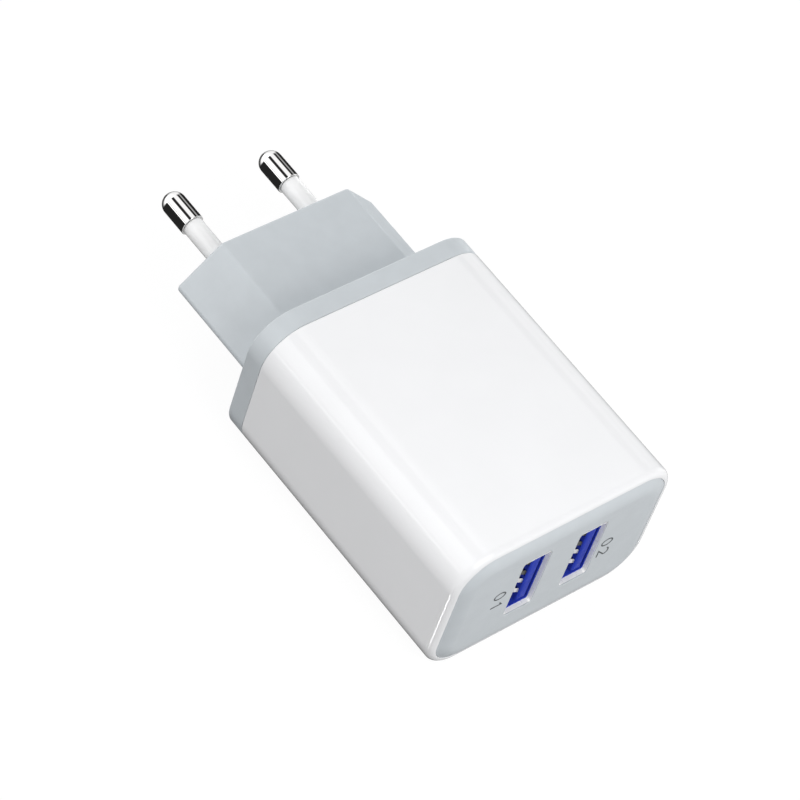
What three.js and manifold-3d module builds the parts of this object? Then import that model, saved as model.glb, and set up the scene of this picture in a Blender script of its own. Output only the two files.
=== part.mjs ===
// USB wall charger: a two-pin mains plug on a rounded box with two upright type A sockets.
// Millimetres. +X runs across the body, +Y towards the wall socket, +Z up through the broad top.
// The origin is the middle of the plug's end face, between the two pins.

import * as THREE from 'three';
import { mergeVertices } from 'three/addons/utils/BufferGeometryUtils.js';
import Module from 'manifold-3d';

// Driving dimensions: the outside of the body
const BODY_WIDTH = 42.5;
const BODY_HEIGHT = 26.7;
const BODY_CORNER = 6.8;
const PLINTH_LENGTH = 18.9;
const PLINTH_HEIGHT = 14.1;
const PLINTH_HALF_FLAT = 12.3;
const PLINTH_HALF_WIDTH = 19.3;
const PLINTH_RIDGE_R = 1.4;
const PLINTH_EDGE_R = 0.8;
const FLANGE_LENGTH = 3.5;
const SHELL_LENGTH = 47.1;
const FRONT_FILLET = 1.2;
const PANEL_INSET = 1.25;
const PANEL_CROWN = 0.8;
const PANEL_PILLOW = 1.7;

// Walls and fits of the housing
const SHELL_WALL = 1.8;
const COVER_WALL = 1.8;
const END_WALL = 2.6;
const SPIGOT_WALL = 1.4;
const SPIGOT_LENGTH = 4.0;
const RECESS_DEPTH = 2.3;
const LEDGE_THICKNESS = 1.3;
const LEDGE_INSET = 3.4;
const PANEL_THICKNESS = 1.4;
const SKIRT_WALL = 1.2;
const SKIRT_LENGTH = 2.6;
const SEAM_GAP = 0.1;
const FIT_GAP = 0.15;

// Mains pins: standard spacing and diameter, short bare tips
const PIN_SPACING = 19.0;
const PIN_LENGTH = 15.7;
const PIN_R = 2.0;
const PIN_CORE_R = 1.25;
const PIN_SHANK_R = 1.5;
const PIN_FLANGE_R = 2.6;
const PIN_FLANGE_THICKNESS = 1.2;
const PIN_SHANK_LENGTH = 8.0;
const SLEEVE_R = 1.7;
const SLEEVE_LENGTH = 8.9;
const RETAINER_THICKNESS = 2.2;
const RETAINER_CLEARANCE = 0.6;
const STAKE_X = 3.4;
const STAKE_R = 1.2;

// Type A sockets, standing with their long side along Z
const PORT_X = 5.5;
const PORT_Z = 0.8;
const SOCKET_INNER = { width: 5.12, height: 12.5, radius: 0.3 };
const SOCKET_SHEET = 0.3;
const SOCKET_LENGTH = 14.0;
const SOCKET_SETBACK = 0.45;
const PANEL_HOLE = { width: 5.5, height: 13.5, radius: 0.9, lip: 0.4 };
const LINER = { wall: 0.2, setback: 0.88 };
const TONGUE = { thickness: 1.84, height: 11.1, gap: 0.6, setback: 1.24 };
const BLOCK_LENGTH = 4.0;
const CONTACT = { offsets: [-3.5, -1.0, 1.0, 3.5], width: 1.0, thickness: 0.25, rise: 0.45, inset: 0.2 };
const CONTACT_SLOT = { width: 1.3, depth: 1.3, relief: 0.3, lip: 0.3, tipGap: 0.15, rootGap: 0.4 };

// Circuit board and the parts on it
const BOARD_TOP = -6.35;
const BOARD_THICKNESS = 1.6;
const BOARD_WIDTH = 36.8;
const PART_GAP = 0.15;
const LEAD_R = 0.35;
const LEAD_HOLE_R = 0.55;
const LEAD_BELOW_BOARD = 1.0;
const RAIL = { width: 1.0, thickness: 1.0, gap: 0.2 };

// Levels along Y
const FLANGE_REAR_Y = -PLINTH_LENGTH;
const FLANGE_FRONT_Y = FLANGE_REAR_Y - FLANGE_LENGTH;
const RIM_Y = FLANGE_FRONT_Y - SHELL_LENGTH;
const FACE_Y = RIM_Y - PANEL_CROWN;
const RECESS_Y = RIM_Y + RECESS_DEPTH;
const LEDGE_Y = RECESS_Y + LEDGE_THICKNESS;
const PANEL_BACK_Y = RECESS_Y - SEAM_GAP;
const SKIRT_REAR_Y = PANEL_BACK_Y + SKIRT_LENGTH;
const SPIGOT_Y = FLANGE_FRONT_Y - SPIGOT_LENGTH;
const SOCKET_FRONT_Y = FACE_Y + SOCKET_SETBACK;
const SOCKET_REAR_Y = SOCKET_FRONT_Y + SOCKET_LENGTH;
const TONGUE_FRONT_Y = FACE_Y + TONGUE.setback;
const SLOT_REAR_Y = SOCKET_REAR_Y - 1.2;
const BOARD_REAR_Y = SPIGOT_Y - 0.5;
const BOARD_FRONT_Y = SKIRT_REAR_Y + 0.3;

const ARC_STEPS = 4;
const ROUND_STEPS = 24;
const BIG = 200;

const wasm = await Module();
wasm.setup();

// ---- solids -------------------------------------------------------------------------------

// A closed manifold from a three.js geometry.
function solid(geometry) {
  const bare = geometry.clone();
  bare.deleteAttribute('normal');
  bare.deleteAttribute('uv');
  const merged = mergeVertices(bare);
  const vertProperties = new Float32Array(merged.attributes.position.array);
  const triVerts = new Uint32Array(merged.index.array);
  return new wasm.Manifold(new wasm.Mesh({ numProp: 3, vertProperties, triVerts }));
}

function geometryOf(manifold) {
  const mesh = manifold.getMesh();
  const geometry = new THREE.BufferGeometry();
  geometry.setAttribute('position', new THREE.BufferAttribute(mesh.vertProperties, 3));
  geometry.setIndex(new THREE.BufferAttribute(mesh.triVerts, 1));
  return geometry;
}

const join = (...parts) => parts.reduce((sum, part) => sum.add(part));
const cut = (body, ...tools) => tools.reduce((rest, tool) => rest.subtract(tool), body);

// An outline in X and Z, extruded from yRear forward to yFront.
function prismY(shape, yRear, yFront) {
  const geometry = new THREE.ExtrudeGeometry(shape, {
    depth: yRear - yFront, bevelEnabled: false, curveSegments: ARC_STEPS,
  });
  return solid(geometry.rotateX(Math.PI / 2).translate(0, yRear, 0));
}

// The same with both ends rounded over, `size` inwards and `thickness` along Y.
function pillowPrismY(shape, yRear, yFront, size, thickness, segments) {
  const geometry = new THREE.ExtrudeGeometry(shape, {
    depth: yRear - yFront - 2 * thickness, curveSegments: ARC_STEPS,
    bevelSize: size, bevelOffset: -size, bevelThickness: thickness, bevelSegments: segments,
  });
  return solid(geometry.rotateX(Math.PI / 2).translate(0, yRear - thickness, 0));
}

// An outline in X and Y, extruded from zLow to zHigh.
function prismZ(shape, zLow, zHigh) {
  const geometry = new THREE.ExtrudeGeometry(shape, {
    depth: zHigh - zLow, bevelEnabled: false, curveSegments: ARC_STEPS,
  });
  return solid(geometry.translate(0, 0, zLow));
}

function box(xRange, yRange, zRange) {
  const ranges = [xRange, yRange, zRange];
  const [sx, sy, sz] = ranges.map(([low, high]) => high - low);
  const [cx, cy, cz] = ranges.map(([low, high]) => (low + high) / 2);
  return solid(new THREE.BoxGeometry(sx, sy, sz).translate(cx, cy, cz));
}

const centred = (middle, size) => [middle - size / 2, middle + size / 2];

// A solid of revolution about a line along Y through (x, z); profile points are [radius, y].
function latheY(profile, x, z, steps = ROUND_STEPS) {
  const points = profile.map(([radius, y]) => new THREE.Vector2(radius, y));
  return solid(new THREE.LatheGeometry(points, steps).translate(x, 0, z));
}

// A solid of revolution about an upright line through (x, y); profile points are [radius, z].
function latheZ(profile, x, y, steps = ROUND_STEPS) {
  const points = profile.map(([radius, z]) => new THREE.Vector2(radius, z));
  return solid(new THREE.LatheGeometry(points, steps).rotateX(Math.PI / 2).translate(x, y, 0));
}

const rodY = (radius, yLow, yHigh, x, z, steps) =>
  latheY([[0, yLow], [radius, yLow], [radius, yHigh], [0, yHigh]], x, z, steps);
const rodZ = (radius, zLow, zHigh, x, y, steps) =>
  latheZ([[0, zLow], [radius, zLow], [radius, zHigh], [0, zHigh]], x, y, steps);

// ---- outlines -----------------------------------------------------------------------------

function roundedRect(width, height, radius, x = 0, y = 0) {
  const [left, right] = centred(x, width);
  const [low, high] = centred(y, height);
  const shape = new THREE.Shape();
  shape.absarc(right - radius, high - radius, radius, 0, Math.PI / 2);
  shape.absarc(left + radius, high - radius, radius, Math.PI / 2, Math.PI);
  shape.absarc(left + radius, low + radius, radius, Math.PI, 1.5 * Math.PI);
  shape.absarc(right - radius, low + radius, radius, 1.5 * Math.PI, 2 * Math.PI);
  return shape;
}

const bodyOutline = (inset) =>
  roundedRect(BODY_WIDTH - 2 * inset, BODY_HEIGHT - 2 * inset, BODY_CORNER - inset);

// A polygon whose corners, each [x, z, radius], are rounded by arcs.
function roundedPolygon(corners) {
  const points = [];
  corners.forEach(([x, z, radius], i) => {
    const corner = new THREE.Vector2(x, z);
    const towards = (j) => {
      const [nx, nz] = corners[(j + corners.length) % corners.length];
      return new THREE.Vector2(nx, nz).sub(corner).normalize();
    };
    const before = towards(i - 1);
    const after = towards(i + 1);
    const half = before.angleTo(after) / 2;
    const bisector = before.clone().add(after).normalize();
    const centre = corner.clone().addScaledVector(bisector, radius / Math.sin(half));
    const start = corner.clone().addScaledVector(before, radius / Math.tan(half)).sub(centre);
    const sweep = Math.PI - 2 * half;
    for (let k = 0; k <= ARC_STEPS; k += 1) {
      const turn = (sweep * k) / ARC_STEPS;
      points.push(start.clone().rotateAround(new THREE.Vector2(), turn).add(centre));
    }
  });
  return new THREE.Shape(points);
}

// The plug plinth's flat-topped hexagon, its walls moved inwards by `inset`.
function plinthOutline(inset) {
  const rise = PLINTH_HEIGHT / 2;
  const run = PLINTH_HALF_WIDTH - PLINTH_HALF_FLAT;
  const vertex = PLINTH_HALF_WIDTH - (inset * Math.hypot(rise, run)) / rise;
  const top = rise - inset;
  const flat = vertex - (run * top) / rise;
  const ridge = Math.max(PLINTH_RIDGE_R - inset, 0.4);
  const edge = Math.max(PLINTH_EDGE_R - inset, 0.4);
  return roundedPolygon([
    [vertex, 0, edge], [flat, top, ridge], [-flat, top, ridge],
    [-vertex, 0, edge], [-flat, -top, ridge], [flat, -top, ridge],
  ]);
}

// ---- housing ------------------------------------------------------------------------------

// Rails inside the shell's side walls that carry the circuit board's edges.
function boardRails() {
  const rails = [];
  const boardBottom = BOARD_TOP - BOARD_THICKNESS;
  for (const side of [-1, 1]) {
    for (const [low, high] of [
      [BOARD_TOP + RAIL.gap, BOARD_TOP + RAIL.gap + RAIL.thickness],
      [boardBottom - RAIL.gap - RAIL.thickness, boardBottom - RAIL.gap],
    ]) {
      const inner = BOARD_WIDTH / 2 - RAIL.width;
      const xRange = [side * inner, side * (BODY_WIDTH / 2)].sort((a, b) => a - b);
      rails.push(box(xRange, [BOARD_FRONT_Y, BOARD_REAR_Y], [low, high]));
    }
  }
  return join(...rails).intersect(prismY(bodyOutline(SHELL_WALL / 2), 0, -BIG));
}

function frontHousing() {
  const rear = FLANGE_FRONT_Y - SEAM_GAP;
  const outer = bodyOutline(0);
  const nose = pillowPrismY(outer, rear - FLANGE_LENGTH, RIM_Y, FRONT_FILLET, FRONT_FILLET, 4);
  const body = prismY(outer, rear, RIM_Y + 2 * FRONT_FILLET);
  const cavity = prismY(bodyOutline(SHELL_WALL), BIG, LEDGE_Y);
  const window = prismY(bodyOutline(LEDGE_INSET), BIG, -BIG);
  const recess = prismY(bodyOutline(PANEL_INSET), RECESS_Y, -BIG);
  return join(cut(join(body, nose), cavity, window, recess), boardRails());
}

function portPanel() {
  const outline = bodyOutline(PANEL_INSET + FIT_GAP);
  const skirtInset = LEDGE_INSET + FIT_GAP;
  const crown = pillowPrismY(outline, PANEL_BACK_Y, FACE_Y, PANEL_PILLOW, PANEL_CROWN, 5);
  const plate = prismY(outline, PANEL_BACK_Y, RIM_Y);
  const skirt = prismY(bodyOutline(skirtInset), SKIRT_REAR_Y, RIM_Y);
  const hollow = prismY(bodyOutline(skirtInset + SKIRT_WALL), BIG, FACE_Y + PANEL_THICKNESS);
  const holes = [-PORT_X, PORT_X].flatMap((x) => {
    const { width, height, radius, lip } = PANEL_HOLE;
    const hole = prismY(roundedRect(width, height, radius, x, PORT_Z), BIG, -BIG);
    const shellSize = (size) => size + 2 * (SOCKET_SHEET + FIT_GAP);
    const pocket = roundedRect(
      shellSize(SOCKET_INNER.width), shellSize(SOCKET_INNER.height), radius, x, PORT_Z);
    return [hole, prismY(pocket, BIG, FACE_Y + lip)];
  });
  return cut(join(crown, plate, skirt), hollow, ...holes);
}

const pinXs = [-PIN_SPACING / 2, PIN_SPACING / 2];
const flangeFaceY = -END_WALL - 0.6;
const retainerRearY = flangeFaceY - PIN_FLANGE_THICKNESS - 2 * SEAM_GAP;

// The posts that hold the pin retainer, with heads formed over it.
function stakes() {
  const front = retainerRearY - RETAINER_THICKNESS - SEAM_GAP;
  return [-STAKE_X, STAKE_X].map((x) => latheY([
    [0, front - 0.9], [1.2, front - 0.9], [1.9, front - 0.5], [1.9, front],
    [STAKE_R, front], [STAKE_R, 1 - END_WALL], [0, 1 - END_WALL],
  ], x, 0));
}

function rearCover() {
  const flange = prismY(bodyOutline(0), FLANGE_REAR_Y, FLANGE_FRONT_Y);
  const plinth = prismY(plinthOutline(0), 0, FLANGE_FRONT_Y);
  const spigot = prismY(bodyOutline(SHELL_WALL + FIT_GAP), FLANGE_REAR_Y - 1, SPIGOT_Y);
  const spigotHollow = prismY(
    bodyOutline(SHELL_WALL + FIT_GAP + SPIGOT_WALL), FLANGE_REAR_Y - COVER_WALL, -BIG);
  const plinthHollow = prismY(plinthOutline(COVER_WALL), -END_WALL, -BIG);
  const bosses = pinXs.map((x) => rodY(3.4, flangeFaceY + SEAM_GAP, 1 - END_WALL, x, 0));
  const bores = pinXs.map((x) => rodY(SLEEVE_R + SEAM_GAP, -END_WALL - 2, 1, x, 0));
  const body = cut(join(flange, plinth, spigot), spigotHollow, plinthHollow);
  return cut(join(body, ...bosses, ...stakes()), ...bores);
}

// ---- mains plug ---------------------------------------------------------------------------

// Brass pin: rounded bare tip, thin core under the sleeve, and a flange that stops it inside.
function mainsPin(x) {
  const bareStart = SLEEVE_LENGTH + SEAM_GAP;
  const flangeFront = flangeFaceY - PIN_FLANGE_THICKNESS;
  const profile = [
    [0, flangeFront - PIN_SHANK_LENGTH], [PIN_SHANK_R, flangeFront - PIN_SHANK_LENGTH],
    [PIN_SHANK_R, flangeFront], [PIN_FLANGE_R, flangeFront], [PIN_FLANGE_R, flangeFaceY],
    [PIN_CORE_R, flangeFaceY], [PIN_CORE_R, bareStart], [PIN_R, bareStart],
  ];
  const domeSteps = 6;
  for (let k = 0; k <= domeSteps; k += 1) {
    const turn = (Math.PI / 2) * (k / domeSteps);
    const radius = k === domeSteps ? 0 : PIN_R * Math.cos(turn);
    profile.push([radius, PIN_LENGTH - PIN_R + PIN_R * Math.sin(turn)]);
  }
  return latheY(profile, x, 0);
}

// Insulating sleeve moulded round the pin's core.
function pinSleeve(x) {
  const inner = PIN_CORE_R + SEAM_GAP / 2;
  const rear = flangeFaceY + SEAM_GAP / 2;
  return latheY([
    [inner, rear], [SLEEVE_R, rear], [SLEEVE_R, SLEEVE_LENGTH], [inner, SLEEVE_LENGTH],
    [inner, rear],
  ], x, 0);
}

// Plate across both pins, held by the stakes.
function pinRetainer() {
  const holes = [
    ...pinXs.map((x) => [x, PIN_SHANK_R]),
    ...[-STAKE_X, STAKE_X].map((x) => [x, STAKE_R]),
  ].map(([x, radius]) => rodY(radius + FIT_GAP, -BIG, 1, x, 0));
  const outline = plinthOutline(COVER_WALL + RETAINER_CLEARANCE);
  const plate = prismY(outline, retainerRearY, retainerRearY - RETAINER_THICKNESS);
  return cut(plate, ...holes);
}

// Insulated wire along a curve, from a pin's shank to the board.
function pinLead(side) {
  const shankEnd = flangeFaceY - PIN_FLANGE_THICKNESS - PIN_SHANK_LENGTH;
  const x = (side * PIN_SPACING) / 2;
  const path = new THREE.CatmullRomCurve3([
    new THREE.Vector3(x, shankEnd - 0.3, 0),
    new THREE.Vector3(x, shankEnd - 3, 0),
    new THREE.Vector3(x * 0.95, shankEnd - 7, -0.6),
    new THREE.Vector3(x * 0.88, BOARD_REAR_Y + 1.5, -2.4),
    new THREE.Vector3(x * 0.84, BOARD_REAR_Y - 1.4, -4.0),
    new THREE.Vector3(x * 0.84, BOARD_REAR_Y - 1.8, BOARD_TOP + 0.3),
  ]);
  const section = new THREE.Shape();
  section.absarc(0, 0, 0.8, 0, 2 * Math.PI);
  const wire = new THREE.ExtrudeGeometry(section, {
    steps: 24, curveSegments: 4, bevelEnabled: false, extrudePath: path,
  });
  return solid(wire);
}

// ---- type A sockets -----------------------------------------------------------------------

const socketLegs = (x) => {
  const legs = [];
  const offset = (SOCKET_INNER.width + SOCKET_SHEET) / 2;
  for (const side of [-1, 1]) {
    for (const y of [SOCKET_REAR_Y - 2.2, SOCKET_REAR_Y - 7.8]) {
      legs.push({ x: x + side * offset, y });
    }
  }
  return legs;
};

// Sheet-metal shell: a square tube, open at both ends, with four legs through the board.
function usbShell(x) {
  const { width, height, radius } = SOCKET_INNER;
  const section = (grow) =>
    roundedRect(width + 2 * grow, height + 2 * grow, radius + grow, x, PORT_Z);
  const tube = prismY(section(SOCKET_SHEET), SOCKET_REAR_Y, SOCKET_FRONT_Y);
  const hollow = prismY(section(0), BIG, -BIG);
  const foot = BOARD_TOP - BOARD_THICKNESS - 0.8;
  const legs = socketLegs(x).map((leg) =>
    box(centred(leg.x, SOCKET_SHEET), centred(leg.y, 1.6), [foot, PORT_Z - height / 2 + 1]));
  return join(cut(tube, hollow), ...legs);
}

const tongueFaceX = (x) => x + SOCKET_INNER.width / 2 - TONGUE.gap - TONGUE.thickness;

// Block that closes the shell's rear, the thin lining of the shell's walls, and the tongue
// that carries the contacts.
function usbInsulator(x) {
  const gap = 0.05;
  const { width, height, radius } = SOCKET_INNER;
  const section = (inset) =>
    roundedRect(width - 2 * inset, height - 2 * inset, radius - inset / 2, x, PORT_Z);
  const body = prismY(section(gap), SOCKET_REAR_Y, FACE_Y + LINER.setback);
  const hollow = prismY(section(gap + LINER.wall), SOCKET_REAR_Y - BLOCK_LENGTH, -BIG);
  const face = tongueFaceX(x);
  const back = face + TONGUE.thickness;
  const chamfer = 0.5;
  const outline = new THREE.Shape([
    new THREE.Vector2(face + chamfer, TONGUE_FRONT_Y),
    new THREE.Vector2(back - chamfer, TONGUE_FRONT_Y),
    new THREE.Vector2(back, TONGUE_FRONT_Y + chamfer),
    new THREE.Vector2(back, SOCKET_REAR_Y - 1),
    new THREE.Vector2(face, SOCKET_REAR_Y - 1),
    new THREE.Vector2(face, TONGUE_FRONT_Y + chamfer),
  ]);
  const tongue = prismZ(outline, ...centred(PORT_Z, TONGUE.height));
  const slots = CONTACT.offsets.map((offset) => box(
    [face - CONTACT_SLOT.relief, face + CONTACT_SLOT.depth],
    [TONGUE_FRONT_Y + CONTACT_SLOT.lip, SLOT_REAR_Y],
    centred(PORT_Z + offset, CONTACT_SLOT.width),
  ));
  return cut(join(cut(body, hollow), tongue), ...slots);
}

// Bent spring strip: it lies in the tongue's slot and its bend stands proud of the tongue.
function usbContact(x, offset) {
  const { inset, rise, thickness, width } = CONTACT;
  const rear = SLOT_REAR_Y - CONTACT_SLOT.rootGap;
  const tip = TONGUE_FRONT_Y + CONTACT_SLOT.lip + CONTACT_SLOT.tipGap;
  const bend = [
    [inset, rear], [inset, tip + 3.6], [-rise, tip + 2.0], [-rise, tip + 1.3], [inset / 2, tip],
  ];
  const face = tongueFaceX(x);
  const point = ([depth, y]) => new THREE.Vector2(face + depth, y);
  const outerSide = bend.map(point);
  const innerSide = bend.map(([depth, y]) => point([depth + thickness, y])).reverse();
  return prismZ(new THREE.Shape([...outerSide, ...innerSide]), ...centred(PORT_Z + offset, width));
}

// ---- circuit board and its parts ----------------------------------------------------------

const INPUT_CAPS = [{ x: -12.2, y: -33.0 }, { x: -12.2, y: -44.2 }];
const OUTPUT_CAPS = [{ x: -13.2, y: -59.4 }, { x: 13.2, y: -59.4 }];
const INDUCTOR = { x: -2.6, y: -31.2, r: 3.6, height: 9 };
const Y_CAP = { x: 15.5, y: -48.6, r: 3.8, thickness: 3.2 };
const FUSE = { x: 13.6, y: -33.4, r: 1.7, length: 8.4 };
const CLAMP_DIODE = { x: 5.2, y: -31.4, r: 1.3, length: 5.2 };
const TRANSFORMER = { x: 3.2, y: -43.8, z: BOARD_TOP + PART_GAP + 7.0 };
const BARRIER_Y = -53.7;
const OPTOCOUPLER = { x: -15.0, y: -51.4 };

// A radial part's two leads, `pitch` apart along X or Y.
const leadPair = ({ x, y }, pitch, alongY = false) => [-pitch / 2, pitch / 2].map((step) =>
  (alongY ? { x, y: y + step } : { x: x + step, y }));

const LEADS = {
  inputCaps: INPUT_CAPS.map((spot) => leadPair(spot, 5)),
  outputCaps: OUTPUT_CAPS.map((spot) => leadPair(spot, 3.5)),
  inductor: leadPair(INDUCTOR, 5),
  yCap: leadPair(Y_CAP, 5, true),
  fuse: leadPair(FUSE, FUSE.length + 2.2, true),
  clampDiode: leadPair(CLAMP_DIODE, CLAMP_DIODE.length + 1.8, true),
};

const leadRods = (spots, zTop) => spots.map(({ x, y }) =>
  rodZ(LEAD_R, BOARD_TOP - BOARD_THICKNESS - LEAD_BELOW_BOARD, zTop, x, y, 8));

function mainBoard() {
  const middle = (BOARD_REAR_Y + BOARD_FRONT_Y) / 2;
  const outline = roundedRect(BOARD_WIDTH, BOARD_REAR_Y - BOARD_FRONT_Y, 1.5, 0, middle);
  const plate = prismZ(outline, BOARD_TOP - BOARD_THICKNESS, BOARD_TOP);
  const leadHoles = Object.values(LEADS).flat(2)
    .map(({ x, y }) => rodZ(LEAD_HOLE_R, -BIG, BIG, x, y, 10));
  const legHoles = [-PORT_X, PORT_X].flatMap(socketLegs).map((leg) =>
    box(centred(leg.x, SOCKET_SHEET + 0.4), centred(leg.y, 2.0), [-BIG, BIG]));
  return cut(plate, ...leadHoles, ...legHoles);
}

// Upright electrolytic capacitor with its crimped groove.
function radialCapacitor({ x, y }, radius, height, leads) {
  const z = BOARD_TOP + PART_GAP;
  const can = latheZ([
    [0, z], [radius - 0.5, z], [radius, z + 0.5], [radius, z + 1.2], [radius - 0.4, z + 1.6],
    [radius, z + 2.0], [radius, z + height - 0.6], [radius - 0.6, z + height],
    [radius - 1.4, z + height - 0.2], [0, z + height - 0.2],
  ], x, y);
  return join(can, ...leadRods(leads, z + 0.5));
}

// Drum core of the input filter coil.
function inductorCore() {
  const { x, y, r, height } = INDUCTOR;
  const z = BOARD_TOP + PART_GAP;
  const drum = latheZ([
    [0, z], [r, z], [r, z + 1.4], [r - 1.8, z + 1.4], [r - 1.8, z + height - 1.4],
    [r, z + height - 1.4], [r, z + height], [0, z + height],
  ], x, y);
  return join(drum, ...leadRods(LEADS.inductor, z + 0.5));
}

function inductorCoil() {
  const { x, y, r, height } = INDUCTOR;
  const z = BOARD_TOP + PART_GAP;
  const [inner, outer] = [r - 1.7, r - 0.2];
  const [low, high] = [z + 1.5, z + height - 1.5];
  return latheZ([[inner, low], [outer, low], [outer, high], [inner, high], [inner, low]], x, y);
}

// Safety capacitor: a disc standing on edge across the insulation gap.
function safetyCapacitor() {
  const { x, y, r, thickness } = Y_CAP;
  const z = BOARD_TOP + 1.2 + r;
  const disc = new THREE.CylinderGeometry(r, r, thickness, ROUND_STEPS)
    .rotateZ(Math.PI / 2).translate(x, y, z);
  return join(solid(disc), ...leadRods(LEADS.yCap, z - 1));
}

// A body of revolution lying along Y, with two leads bent down into the board.
function axialPart({ x, y, r, length }, leads) {
  const z = BOARD_TOP + PART_GAP + r;
  const body = latheY([
    [0, y - length / 2], [r * 0.8, y - length / 2], [r, y - length / 2 + 0.5],
    [r, y + length / 2 - 0.5], [r * 0.8, y + length / 2], [0, y + length / 2],
  ], x, z);
  const wire = rodY(LEAD_R, leads[0].y - LEAD_R, leads[1].y + LEAD_R, x, z, 8);
  return join(body, wire, ...leadRods(leads, z));
}

const CORE = { width: 19, depth: 8, height: 5, back: 2.6, centreLeg: 4.8, sideLeg: 2.6 };

// One E-shaped half of the transformer's ferrite core; side is +1 behind and -1 in front.
function coreHalf(side) {
  const { x, y, z } = TRANSFORMER;
  const { width, depth, height, back, centreLeg, sideLeg } = CORE;
  const zRange = centred(z, height);
  const yOf = (near, far) => [y + side * (near + 0.05), y + side * far].sort((a, b) => a - b);
  const bar = box(centred(x, width), yOf(depth - back, depth), zRange);
  const legs = [[0, centreLeg], [-(width - sideLeg) / 2, sideLeg], [(width - sideLeg) / 2, sideLeg]]
    .map(([shift, size]) => box(centred(x + shift, size), yOf(0, depth - 1), zRange));
  return join(bar, ...legs);
}

const BOBBIN = { length: 10.4, flange: 0.9, wall: 0.8, width: 13.4, height: 14.0, gap: 0.2 };

function bobbin() {
  const { x, y, z } = TRANSFORMER;
  const holeWidth = CORE.centreLeg + 2 * BOBBIN.gap;
  const holeHeight = CORE.height + 2 * BOBBIN.gap;
  const [rear, front] = [y + BOBBIN.length / 2, y - BOBBIN.length / 2];
  const flangeShape = roundedRect(BOBBIN.width, BOBBIN.height, 0.8, x, z);
  const barrel = roundedRect(holeWidth + 2 * BOBBIN.wall, holeHeight + 2 * BOBBIN.wall, 0.6, x, z);
  const spool = join(
    prismY(flangeShape, rear, rear - BOBBIN.flange),
    prismY(flangeShape, front + BOBBIN.flange, front),
    prismY(barrel, rear, front),
  );
  return cut(spool, box(centred(x, holeWidth), [-BIG, BIG], centred(z, holeHeight)));
}

// The wound and taped coil between the bobbin's flanges.
function winding() {
  const { x, y, z } = TRANSFORMER;
  const gap = 0.1;
  const half = BOBBIN.length / 2 - BOBBIN.flange - gap;
  const innerWidth = CORE.centreLeg + 2 * (BOBBIN.gap + BOBBIN.wall + gap);
  const innerHeight = CORE.height + 2 * (BOBBIN.gap + BOBBIN.wall + gap);
  const outer = roundedRect(BOBBIN.width - 1.0, BOBBIN.height - 1.2, 2.2, x, z);
  const inner = roundedRect(innerWidth, innerHeight, 0.7, x, z);
  return cut(prismY(outer, y + half, y - half), prismY(inner, BIG, -BIG));
}

const underBoard = (height) => {
  const top = BOARD_TOP - BOARD_THICKNESS - PART_GAP;
  return [top - height, top];
};

// A moulded surface-mount body under the board, with its rows of flat leads.
function chipUnderBoard(x, y, width, length, height, leadsPerSide) {
  const [low, high] = underBoard(height);
  const parts = [box(centred(x, width), centred(y, length), [low, high - 0.1])];
  const pitch = length / leadsPerSide;
  for (let i = 0; i < leadsPerSide; i += 1) {
    const leadY = y + (i - (leadsPerSide - 1) / 2) * pitch;
    parts.push(box(centred(x, width + 2), centred(leadY, 0.42), [high - 0.3, high]));
  }
  return join(...parts);
}

// Isolating signal coupler: a small moulded block with four legs, standing on the board.
function optocoupler() {
  const { x, y } = OPTOCOUPLER;
  const z = BOARD_TOP + PART_GAP;
  const body = box(centred(x, 4.4), centred(y, 3.0), [z + 0.6, z + 3.6]);
  const legs = [];
  for (const side of [-1, 1]) {
    for (const step of [-1, 1]) {
      legs.push(box(centred(x + step * 1.27, 0.5), centred(y + side * 1.5, 0.8), [z, z + 1.6]));
    }
  }
  return join(body, ...legs);
}

// Thin plastic wall between the mains side and the low-voltage side, standing on the board.
function insulationBarrier() {
  const halfWidth = BOARD_WIDTH / 2 - 1.2;
  const top = BODY_HEIGHT / 2 - SHELL_WALL - 1.2;
  const shape = roundedPolygon([
    [halfWidth, BOARD_TOP + 1.6, 0.3], [halfWidth, top - 2.5, 3], [halfWidth - 3, top, 3],
    [3 - halfWidth, top, 3], [-halfWidth, top - 2.5, 3], [-halfWidth, BOARD_TOP + 1.6, 0.3],
  ]);
  return prismY(shape, BARRIER_Y + 0.25, BARRIER_Y - 0.25);
}

// ---- materials and assembly ---------------------------------------------------------------

const finish = (color, roughness, metalness = 0) =>
  new THREE.MeshStandardMaterial({ color, roughness, metalness });

const MATERIALS = {
  whiteGloss: finish('#f4f4f6', 0.12),
  greySatin: finish('#c6ced2', 0.42),
  nickel: finish('#c9cccf', 0.14, 1),
  sleeve: finish('#d9dcdf', 0.35),
  bluePlastic: finish('#27309a', 0.38),
  gold: finish('#c9a85c', 0.22, 1),
  boardGreen: finish('#2f6a45', 0.5),
  ferrite: finish('#3a3b3e', 0.6),
  blackPlastic: finish('#1c1d20', 0.5),
  tape: finish('#e2b93a', 0.45),
  canSleeve: finish('#2b2f3a', 0.35),
  copper: finish('#b56a36', 0.3, 1),
  blueCeramic: finish('#3d6fb4', 0.4),
  whiteWire: finish('#e6e7e8', 0.5),
  fibre: finish('#d8c7a0', 0.6),
  amberFilm: finish('#c8b48a', 0.4),
};

const charger = new THREE.Group();

function place(name, manifold, material) {
  const mesh = new THREE.Mesh(geometryOf(manifold), material);
  mesh.name = name;
  charger.add(mesh);
}

place('front_housing', frontHousing(), MATERIALS.whiteGloss);
place('port_panel', portPanel(), MATERIALS.greySatin);
place('rear_cover', rearCover(), MATERIALS.greySatin);
place('pin_retainer', pinRetainer(), MATERIALS.fibre);

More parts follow.
